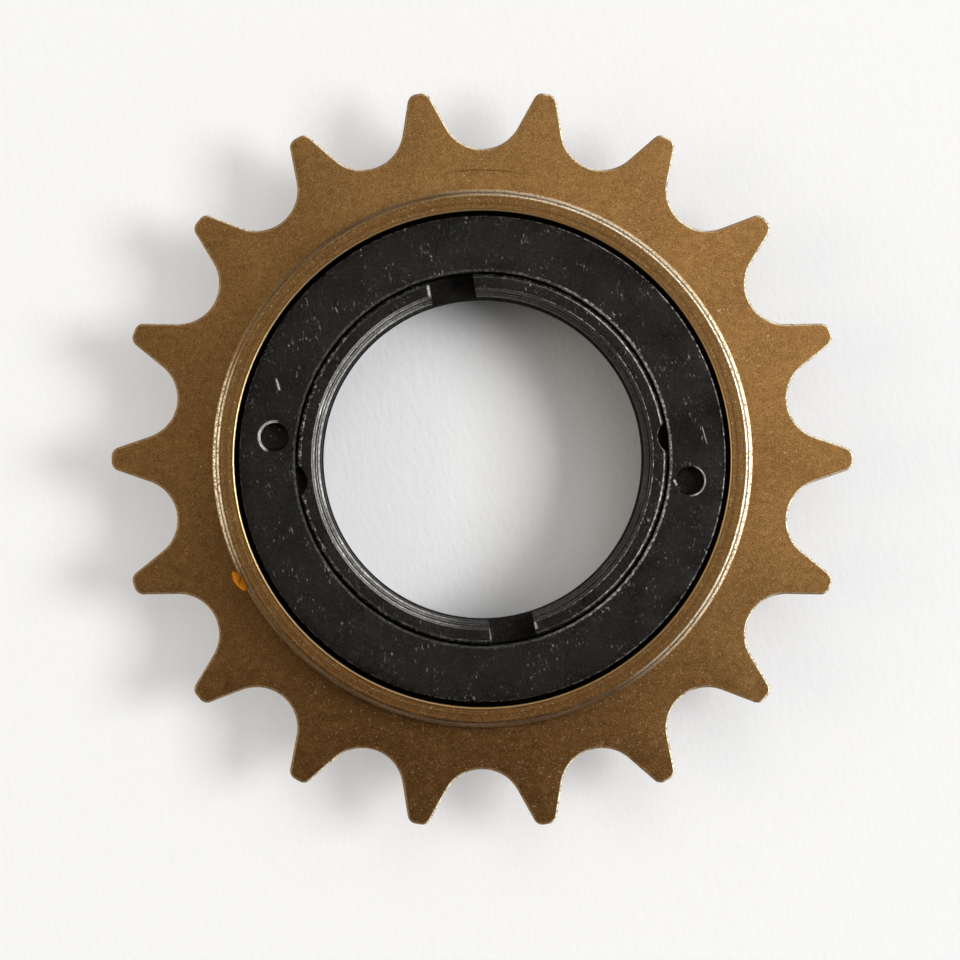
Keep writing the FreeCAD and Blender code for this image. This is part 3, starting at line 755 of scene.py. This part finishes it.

# %% [markdown]
# ## Marks on the bronze
# The ring keeps the fine rings of the lathe tool, its outer edge and foot are worn and carry a painted
# highlight, strongest on the lamp side, and a thin arc is scored into the disc above it. The mouth gets a
# painted highlight on its lip and painted shade on the wall below. Each mark is a mask from radius, height
# and bearing.


# %% Mark the bronze
ARC_MARK = 30.4
RING_FOOT = 10.5  # the rubbed foot of the ring ends above this height


def turning_marks(tree, radius, on_ring, cluster):
    """Fine rings from the lathe tool, strongest on the raised ring."""
    values = {"W": radius, "Scale": 5.2, "Detail": 2.0}
    rings = put(tree, "ShaderNodeTexNoise", values, noise_dimensions="1D").outputs["Fac"]
    where = sums(tree, "MAXIMUM", on_ring, sums(tree, "MULTIPLY", cluster, 0.35))
    return sums(tree, "MULTIPLY", ramp(tree, rings, 0.35, 0.65, 0.0, 0.7), where)


def scored_arc(tree, place, radius):
    """A thin arc scored into the disc."""
    line = band(tree, radius, ARC_MARK, 0.04, 0.06)
    line = sums(tree, "MULTIPLY", line, mark(tree, place, ARC_MARK, 89, 0, 8, 3))
    return sums(tree, "MULTIPLY", line, 0.7)


def ring_wear_and_highlight(tree, place, radius, height):
    """The edge and foot of the raised ring: wear, and a painted highlight strongest on the lamp side and
    weaker opposite.
    """
    high = ramp(tree, height, TOP - 1.0, TOP - 0.6)
    low = ramp(tree, height, RING_FOOT, RING_FOOT + 0.4, 1.0, 0.0)
    edge = sums(tree, "MULTIPLY", band(tree, radius, RING - 0.19, 0.08, 0.08), high)
    foot = sums(tree, "MULTIPLY", band(tree, radius, RING + 0.27, 0.04, 0.18), low)
    # painted highlight: full on the side toward the key lamp, a weaker one on the far side
    side = ramp(tree, facing(tree, place, radius, 20), 0.15, 0.8, 0.08, 1.0)
    far_side_highlight = ramp(tree, facing(tree, place, radius, 181), 0.90, 0.99, 0.0, 0.8)
    return sums(tree, "MULTIPLY", sums(tree, "MAXIMUM", edge, foot), sums(tree, "MAXIMUM", side, far_side_highlight))


def edge_wear_and_highlight(tree, place):
    """A broken edge, worn bright, with a painted highlight where it leans toward the key lamp."""
    normal = place.node.outputs["Normal"]
    # painted highlight: edges whose normal points toward the key lamp are made brightest
    lean = ramp(tree, share_along(tree, normal, 12), 0.0, 0.35, 0.16, 1.0)
    uneven = ramp(tree, noise(tree, place, 1200.0, 4.0, 0.7), 0.28, 0.44, 0.6, 1.0)
    return sums(tree, "MULTIPLY", lean, uneven)


def bronze_mouth(tree, place, radius, height, colour, on_ring):
    """A painted highlight along the lip of the mouth, strongest where it faces the lamp, and painted shade
    on the wall below it.
    """
    # painted highlight on the lip
    lip_highlight = sums(tree, "MULTIPLY", band(tree, radius, MOUTH + 0.08, 0.08, 0.04), on_ring)
    glint = ramp(tree, facing(tree, place, radius, 176), 0.80, 0.97, 0.4, 0.9)
    colour = blend(tree, sums(tree, "MULTIPLY", lip_highlight, glint), colour, BRONZE["lip_highlight"])
    # painted shade: the mouth's wall below the lip is made near black
    inner = ramp(tree, radius, MOUTH + 0.02, MOUTH + 0.08, 1.0, 0.0)
    under = ramp(tree, height, TOP - 0.4, TOP - 0.2, 1.0, 0.0)
    return blend(tree, sums(tree, "MULTIPLY", inner, under), colour, BRONZE["gap"])


print("arc mark at radius", ARC_MARK, "mm")

# %% [markdown]
# ## Mixing the bronze
# The layers meet in one metal shader, made twice: plain for the faces, and worn with a painted highlight
# for the broken edges, which the bevel put into the second slot. A bump of a few thousandths of a
# millimetre lets grain and turning marks catch the light.


# %% Mix the bronze
def bronze_finish(name, worn_and_lit_edge):
    """The brown finish, or the same finish worn along an edge with a painted highlight."""
    material, tree, shader, place = new_material(name)
    radius, height = radius_of(tree, place)
    grain = noise(tree, place, 7500.0, 2.0, 0.7)
    cluster = ramp(tree, noise(tree, place, 210.0, 3.0), 0.47, 0.68)
    on_ring = ramp(tree, height, TOP - 0.6, TOP - 0.2)
    colour = bronze_base(tree, place, radius, grain)
    colour = bronze_flecks(tree, place, radius, colour, on_ring, cluster)
    turned = turning_marks(tree, radius, on_ring, cluster)
    colour = blend(tree, turned, colour, BRONZE["turned"])
    colour = blend(tree, scored_arc(tree, place, radius), colour, BRONZE["arc_mark"])
    # wear with a painted highlight, on broken edges or on the raised ring
    wear_and_highlight = edge_wear_and_highlight(tree, place) if worn_and_lit_edge else ring_wear_and_highlight(tree, place, radius, height)
    wear_and_highlight = sums(tree, "MULTIPLY", wear_and_highlight, ramp(tree, noise(tree, place, 4300.0, 3.0, 0.7), 0.36, 0.50))
    colour = blend(tree, wear_and_highlight, colour, BRONZE["bright_wear_and_highlight"])
    colour = bronze_mouth(tree, place, radius, height, colour, on_ring)
    tree.links.new(colour, shader.inputs["Base Color"])
    shader.inputs["Metallic"].default_value = 1.0
    smooth, dull = (0.52, 0.66) if worn_and_lit_edge else (0.33, 0.41)
    satin = ramp(tree, noise(tree, place, 900.0, 4.0), 0.3, 0.7, smooth, dull)
    tree.links.new(satin, shader.inputs["Roughness"])
    relief = sums(tree, "ADD", grain, sums(tree, "MULTIPLY", turned, 1.6))
    relief = sums(tree, "ADD", relief, sums(tree, "MULTIPLY", wear_and_highlight, 4.0))
    tree.links.new(bump(tree, relief, 0.000009, 0.9), shader.inputs["Normal"])
    return material


body.data.materials[0] = bronze_finish("bronze_brown", False)
body.data.materials[1] = bronze_finish("bronze_edge_wear_and_highlight", True)
print("bronze faces worn bright:", sum(1 for face in body.data.polygons if face.material_index == 1))

# %% [markdown]
# ## Wear on the black
# Core and lock ring are blackened steel. The black rubs through to bare steel along rims, round the pin
# holes and in a few short scratches; along rims and edges it is brightest on the lamp side, a painted
# highlight. These masks say where steel shows, and a noise breaks each of them up.


# %% Helpers that wear the black
RIM_FADE = 0.04


def rims_worn_and_highlighted(tree, place, radius, steel_and_highlight, broken, rims):
    """Bare steel along the rims: wear, strongest on one bearing as a painted highlight on the lit side."""
    for rim, width, keep, bearing, spread in rims:
        line = band(tree, radius, rim, width, RIM_FADE)
        line = sums(tree, "MULTIPLY", line, ramp(tree, broken, 0.0, 1.0, keep, 1.0))
        side = ramp(tree, facing(tree, place, radius, bearing), spread, spread + 0.3, 0.15, 1.0)
        steel_and_highlight = sums(tree, "MAXIMUM", steel_and_highlight, sums(tree, "MULTIPLY", line, side))
    return steel_and_highlight


def scratches_and_glints(tree, place, steel_and_highlight, patchy, marks):
    """Short scratches and bare marks down to the steel; some stand for glints and are painted highlight."""
    for where in marks:
        steel_and_highlight = sums(tree, "MAXIMUM", steel_and_highlight, sums(tree, "MULTIPLY", mark(tree, place, *where), patchy))
    return steel_and_highlight


def rubbed_pin_holes(tree, place, steel_and_highlight, patchy, pins):
    """Crescents of bare steel on the worn side of the pin holes."""
    for reach, bearing, side, shift, wide in pins:
        along, across = local_of(tree, place, reach, bearing, side, 1.0, 1.0)
        square = sums(tree, "MULTIPLY", along, along)
        square = sums(tree, "ADD", square, sums(tree, "MULTIPLY", across, across))
        outer = wide + shift
        middle = (PIN_HOLE + outer) / 2
        crescent = band(tree, sums(tree, "SQRT", square), middle, outer - middle, RIM_FADE)
        crescent = sums(tree, "MULTIPLY", crescent, ramp(tree, along, 0.1, 0.7, 0.0, 0.9))
        steel_and_highlight = sums(tree, "MAXIMUM", steel_and_highlight, sums(tree, "MULTIPLY", crescent, patchy))
    return steel_and_highlight


print("rims fade over", RIM_FADE, "mm")

# %% [markdown]
# ## Oil and specks
# The black lies under a film of old oil with a brown cast, and years of tools left hair scratches and
# bright specks. Coarse noise makes the clouds of oil, fine noise the grit, and drawn-out noise the specks.


# %% Coat the black
BLACK = {
    "deep": (0.0010, 0.0010, 0.0010, 1),
    "oil": (0.0055, 0.0042, 0.0030, 1),
    "grit": (0.024, 0.019, 0.014, 1),
    "steel": (0.62, 0.60, 0.56, 1),
}


def black_coat(tree, place):
    """Black with clouds of dried oil and fine grit."""
    cloud = noise(tree, place, 300.0, 5.0, 0.65)
    colour = blend(tree, ramp(tree, cloud, 0.35, 0.68), BLACK["deep"], BLACK["oil"])
    grit = noise(tree, place, 5600.0, 3.0, 0.75)
    return blend(tree, ramp(tree, grit, 0.53, 0.64, 0.0, 0.9), colour, BLACK["grit"])


def bright_specks(tree, place):
    """Short bright specks in patches."""
    patch = ramp(tree, noise(tree, place, 420.0, 3.0), 0.48, 0.70)
    lengthened = {"Vector": place, "Rotation": (0.0, 0.0, 1.2), "Scale": (1.0, 0.4, 1.0)}
    drawn_out = put(tree, "ShaderNodeMapping", lengthened).outputs["Vector"]
    speck = ramp(tree, noise(tree, drawn_out, 4600.0, 3.0, 0.65), 0.62, 0.69)
    return sums(tree, "MULTIPLY", sums(tree, "MULTIPLY", speck, patch), 0.68)


print("black tones:", len(BLACK))

# %% [markdown]
# ## Oiled black steel
# The coat is dark and glossy, and turns to metal where steel shows, so one mask drives both colour and
# metal. Deep down, in gaps and threads, no bare steel shows and the coat turns duller. A coarse bump gives
# it a dimpled skin.


# %% Mix the black
DEPTH_FADE = 0.2


def black_finish(name, worn_and_lit_edge, rims, marks, pins, depth):
    """The black finish, or the same rubbed to steel on an edge, most on the lit side as a painted
    highlight; below the depth no bare steel shows and the coat turns duller.
    """
    material, tree, shader, place = new_material(name)
    radius, height = radius_of(tree, place)
    steel_and_highlight = bright_specks(tree, place)
    broken = ramp(tree, noise(tree, place, 2400.0, 4.0, 0.75), 0.46, 0.62)
    if worn_and_lit_edge:
        # painted highlight: worn edges show most steel on the side toward the key lamp
        wear_on_lit_side = ramp(tree, facing(tree, place, radius, 5), 0.2, 0.7, 0.10, 1.0)
        steel_and_highlight = sums(tree, "MAXIMUM", steel_and_highlight, sums(tree, "MULTIPLY", broken, wear_on_lit_side))
    steel_and_highlight = rims_worn_and_highlighted(tree, place, radius, steel_and_highlight, broken, rims)
    patchy = ramp(tree, broken, 0.0, 1.0, 0.5, 1.0)
    steel_and_highlight = scratches_and_glints(tree, place, steel_and_highlight, patchy, marks)
    steel_and_highlight = rubbed_pin_holes(tree, place, steel_and_highlight, patchy, pins)
    # below the depth no bare steel shows and the coat turns duller, so recesses read darker
    above_depth = ramp(tree, height, depth - DEPTH_FADE, depth, 0.03, 1.0)
    steel_and_highlight = sums(tree, "MULTIPLY", steel_and_highlight, above_depth)
    tree.links.new(blend(tree, steel_and_highlight, black_coat(tree, place), BLACK["steel"]), shader.inputs["Base Color"])
    tree.links.new(steel_and_highlight, shader.inputs["Metallic"])
    shader.inputs["Specular IOR Level"].default_value = 0.13
    gloss = ramp(tree, noise(tree, place, 700.0, 4.0), 0.3, 0.7, 0.22, 0.36)
    gloss = sums(tree, "ADD", gloss, sums(tree, "MULTIPLY", steel_and_highlight, 0.06))
    gloss = sums(tree, "ADD", gloss, ramp(tree, above_depth, 0.1, 1.0, 0.4, 0.0))
    tree.links.new(gloss, shader.inputs["Roughness"])
    dimple = noise(tree, place, 2600.0, 5.0, 0.8)
    rugged = ramp(tree, noise(tree, place, 260.0, 3.0), 0.40, 0.68, 0.8, 2.2)
    relief = sums(tree, "MULTIPLY", dimple, rugged)
    tree.links.new(bump(tree, relief, 0.00012, 0.9), shader.inputs["Normal"])
    return material


print("oil sets in over", DEPTH_FADE, "mm")

# %% [markdown]
# ## Blackening core and lock ring
# Both pieces share the finish but wear in different places. A rim is a radius, its half width, how much of
# it is never worn away, and the bearing and spread of its lit side, where it carries a painted highlight. A
# mark is a place, a direction, a length and a width.

# %% Blacken the core and the lock ring
# rings of steel at the lead-in steps, brightest on the lit side: wear and painted highlight lines
LEAD_IN_RIMS = ((17.13, 0.04), (17.24, 0.02), (17.42, 0.02), (17.66, 0.03), (17.74, 0.015), (17.88, 0.03))
CORE_RIMS = [(rim, width, 0.5, 185, 0.2) for rim, width in LEAD_IN_RIMS]
CORE_RIMS += [(19.08, 0.05, 0.2, 5, 0.4), (19.2, 0.2, -0.6, 178, 0.7)]
# bare marks on the notch edges: tool wear, placed where glints fall, so partly a painted glint
CORE_WEAR_AND_GLINTS = ((18.3, 273, 95, 1.5, 0.5), (18.4, 107.6, 100, 1.6, 0.5), (18.3, 287.6, 110, 0.9, 0.5))
CORE_DULL_DEPTH = 11.2
# the lock ring's rims are brightest toward the lamps: wear and painted highlight
LOCK_RIMS = ((25.45, 0.04, 0.0, 5, 0.5), (19.74, 0.06, 0.2, 0, 0.3))
LOCK_MARKS = ((22.8, 160, 106, 1.5, 0.30), (23.4, 6.2, 106, 2.2, 0.11), (20.4, 353, 120, 0.8, 0.3))
LOCK_DULL_DEPTH = 12.6
recipes = {core: (CORE_RIMS, CORE_WEAR_AND_GLINTS, (), CORE_DULL_DEPTH), lock: (LOCK_RIMS, LOCK_MARKS, PINS, LOCK_DULL_DEPTH)}
for piece, recipe in recipes.items():
    piece.data.materials[0] = black_finish(piece.name + "_black", False, *recipe)
    piece.data.materials[1] = black_finish(piece.name + "_edge_wear_and_highlight", True, *recipe)
    print(piece.name, "worn faces:", sum(1 for face in piece.data.polygons if face.material_index == 1))

# %% [markdown]
# ## Hardened steel inside
# The balls are polished and the pawls and shims ground, all under thin grease. They hardly show from
# outside, yet anyone who takes the part apart sees them, so each gets a steel with its own tint, polish and
# smears.


# %% Mix the inner steels
def steel_finish(name, tint, polish):
    """Bare steel with grease smears."""
    material, tree, shader, place = new_material(name)
    smear = noise(tree, place, 420.0, 4.0, 0.6)
    dark = tuple(part * 0.55 for part in tint) + (1,)
    colour = blend(tree, ramp(tree, smear, 0.35, 0.7), tint + (1,), dark)
    tree.links.new(colour, shader.inputs["Base Color"])
    shader.inputs["Metallic"].default_value = 1.0
    tree.links.new(ramp(tree, smear, 0.3, 0.7, polish, polish + 0.18), shader.inputs["Roughness"])
    lines = noise(tree, place, 2600.0, 3.0)
    tree.links.new(bump(tree, lines, 0.000004, 0.6), shader.inputs["Normal"])
    return material


def dress(item, material):
    """Give a piece this one finish."""
    item.data.materials.clear()
    item.data.materials.append(material)


ball_steel = steel_finish("ball_steel", (0.66, 0.65, 0.63), 0.10)
pawl_steel = steel_finish("pawl_steel", (0.040, 0.035, 0.030), 0.34)
spring_steel = steel_finish("spring_steel", (0.30, 0.33, 0.40), 0.24)
shim_steel = steel_finish("shim_steel", (0.60, 0.59, 0.56), 0.26)
for row in (front_balls, rear_balls):
    dress(row, ball_steel)
finishes = {
    "pawl_1": pawl_steel, "pawl_2": pawl_steel,
    "pawl_spring_1": spring_steel, "pawl_spring_2": spring_steel,
    "shim_thin": shim_steel, "shim_thick": shim_steel,
}
for node, finish in finishes.items():
    dress(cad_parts[node], finish)
print("inner pieces dressed:", len(finishes) + 2)

# %% [markdown]
# ## Dried paint
# The dab is orange enamel, streaked brown where the brush dragged it and dulled by dust. Streaks run along
# the dab, so the noise is stretched along its length after turning the coordinates to it.

# %% Mix the paint
ORANGE = (0.86, 0.30, 0.003, 1)
BROWN_STREAK = (0.26, 0.08, 0.003, 1)
paint, tree, shader, place = new_material("orange_paint")
brushed = {"Vector": place, "Rotation": (0.0, 0.0, -DAB_TURN), "Scale": (4200.0, 1100.0, 1100.0)}
along_dab = put(tree, "ShaderNodeMapping", brushed).outputs["Vector"]
streak = ramp(tree, noise(tree, along_dab, 1.0, 3.0, 0.6), 0.56, 0.70)
tree.links.new(blend(tree, streak, ORANGE, BROWN_STREAK), shader.inputs["Base Color"])
tree.links.new(ramp(tree, streak, 0.0, 1.0, 0.5, 0.7), shader.inputs["Roughness"])
tree.links.new(bump(tree, streak, 0.00001, 0.6), shader.inputs["Normal"])
shader.inputs["Specular IOR Level"].default_value = 0.2
dress(dab, paint)
print("paint nodes:", len(tree.nodes))

# %% [markdown]
# ## Floor
# The part lies on white paper. A large square with a faint paper grain takes its soft shadow, and reaches
# far enough that low side views still see floor behind the part. A share of its white is its own glow, seen
# by the camera and by mirrors, so that the paper stays white without more light on the part; outside the
# bore this painted light also lightens the part's cast shadow. In the bore it has none, and the shade
# stays.

# %% Lay the floor
FLOOR_SIZE = 6.0
PAPER_DARK = (0.83, 0.833, 0.838, 1)
PAPER_LIGHT = (0.87, 0.873, 0.878, 1)
PAPER_GLOW = (0.872, 0.873, 0.876, 1)
GLOW_SHARE = 0.40
GLOW_FROM = (18.0, 26.0)  # radii between which the glow sets in
bpy.ops.object.select_all(action="DESELECT")
bpy.ops.mesh.primitive_plane_add(size=FLOOR_SIZE, location=(0, 0, 0))
floor = bpy.context.object
floor.name = "paper_floor"
paper, tree, shader, place = new_material("white_paper")
drawn = {"Vector": place, "Rotation": (0.0, 0.0, PHOTO_TURN), "Scale": (1.0, 0.45, 1.0)}
fibre = noise(tree, put(tree, "ShaderNodeMapping", drawn).outputs["Vector"], 1400.0, 4.0, 0.6)
tree.links.new(bump(tree, fibre, 0.00012, 0.6), shader.inputs["Normal"])
tree.links.new(blend(tree, fibre, PAPER_DARK, PAPER_LIGHT), shader.inputs["Base Color"])
shader.inputs["Roughness"].default_value = 0.85
shader.inputs["Specular IOR Level"].default_value = 0.1
rays = put(tree, "ShaderNodeLightPath", {}).outputs
seen = sums(tree, "MAXIMUM", rays["Is Camera Ray"], rays["Is Glossy Ray"])
seen = sums(tree, "MAXIMUM", seen, rays["Is Transmission Ray"])
# painted light: the glow share rises with radius and lightens the cast shadow outside the bore
share = sums(tree, "MULTIPLY", seen, ramp(tree, radius_of(tree, place)[0], *GLOW_FROM, 0.0, GLOW_SHARE))
glow = put(tree, "ShaderNodeEmission", {"Color": PAPER_GLOW, "Strength": 1.0})
mixed = put(tree, "ShaderNodeMixShader", {0: share, 1: shader.outputs[0], 2: glow.outputs[0]})
tree.links.new(mixed.outputs[0], tree.nodes["Material Output"].inputs["Surface"])
dress(floor, paper)
print("floor", FLOOR_SIZE, "m wide")

# %% [markdown]
# ## Light
# The light in the photograph is soft and comes mostly from the right, so one lamp stands there. Weaker
# panels above, beyond and on the left stand for pale walls that throw some of it back, the left ones a
# little warmer. Area lamps are used because their size decides how soft a shadow's edge is.


# %% Set up the lamps
WARM = (1.0, 0.91, 0.80)
WHITE = (1.0, 1.0, 1.0)


def toward(azimuth, elevation, distance):
    """A place seen from the part, by its bearing in the photograph."""
    rise = math.radians(elevation)
    flat = Vector(seen_at(distance * math.cos(rise), azimuth))
    return flat + Vector((0.0, 0.0, distance * math.sin(rise)))


def lamp(name, azimuth, elevation, distance, size, power, tint):
    """A square lamp that faces the part, sizes in metres and power in watts."""
    light = bpy.data.lights.new(name, "AREA")
    light.size = size
    light.energy = power
    light.color = tint
    holder = bpy.data.objects.new(name, light)
    bpy.context.collection.objects.link(holder)
    holder.location = toward(azimuth, elevation, distance)
    holder.rotation_euler = (-holder.location).to_track_quat("-Z", "Y").to_euler()
    print(name, [round(part, 3) for part in holder.location])


lamp("key_lamp", 2, 46, 2.4, 0.9, 47.5, WHITE)
lamp("top_panel", 46, 67, 2.0, 1.4, 10.8, WHITE)
lamp("far_panel", 85, 48, 2.0, 1.1, 2.8, WHITE)
lamp("left_panel", 178, 35, 2.0, 1.1, 9.6, WARM)
lamp("fill_panel", 175, 60, 2.0, 1.1, 3.4, WARM)

# %% [markdown]
# ## Room
# The room gives the rest of the light. It comes from low down and fades to nothing overhead, so that the
# flat metal faces stay dark where they mirror the ceiling. A ramp over the height of the view does that.

# %% Set up the room
ROOM_COLOUR = (1.0, 0.98, 0.94, 1)
ROOM_STRENGTH = 0.78
ROOM_FADE = 0.75  # rise of the view at which the room is dark
world = bpy.data.worlds.new("studio")
bpy.context.scene.world = world
world.use_nodes = True
room = world.node_tree
way = room.nodes.new("ShaderNodeTexCoord").outputs["Generated"]
rise = put(room, "ShaderNodeSeparateXYZ", {"Vector": way}).outputs["Z"]
background = room.nodes["Background"]
background.inputs["Color"].default_value = ROOM_COLOUR
room.links.new(ramp(room, rise, 0.0, ROOM_FADE, ROOM_STRENGTH, 0.0), background.inputs["Strength"])
print("room strength at the floor:", ROOM_STRENGTH)

# %% [markdown]
# ## Camera
# The photograph looks straight down from nearly a metre, with the part a little above the middle of the
# frame. The lens follows from that distance and from how wide a strip of the disc the picture shows.

# %% Set up the camera
CAMERA_HEIGHT = 0.85  # metres above the disc
PICTURE_SPAN = 0.10105  # metres of the disc's plane across the picture
SENSOR = 36.0
FAR_CLIP = 20.0
PIXELS_PER_MM = 9.5
RIGHT_OF_MIDDLE = 2.4  # pixels from the picture's middle to the axle, to the right
ABOVE_MIDDLE = 21.0  # and upward
camera_data = bpy.data.cameras.new("photo_camera")
camera_data.lens = SENSOR * CAMERA_HEIGHT / PICTURE_SPAN
camera_data.clip_end = FAR_CLIP
camera = bpy.data.objects.new("photo_camera", camera_data)
bpy.context.collection.objects.link(camera)
off_middle = toward(0, 0, RIGHT_OF_MIDDLE) + toward(90, 0, ABOVE_MIDDLE)
camera.location = Vector((0, 0, CAMERA_HEIGHT + DISC_HIGH * MM)) - off_middle * MM / PIXELS_PER_MM
camera.rotation_euler = (0.0, 0.0, -PHOTO_TURN)
bpy.context.scene.camera = camera
bpy.context.scene.view_settings.view_transform = "Standard"
print("lens", round(camera_data.lens, 1), "mm")
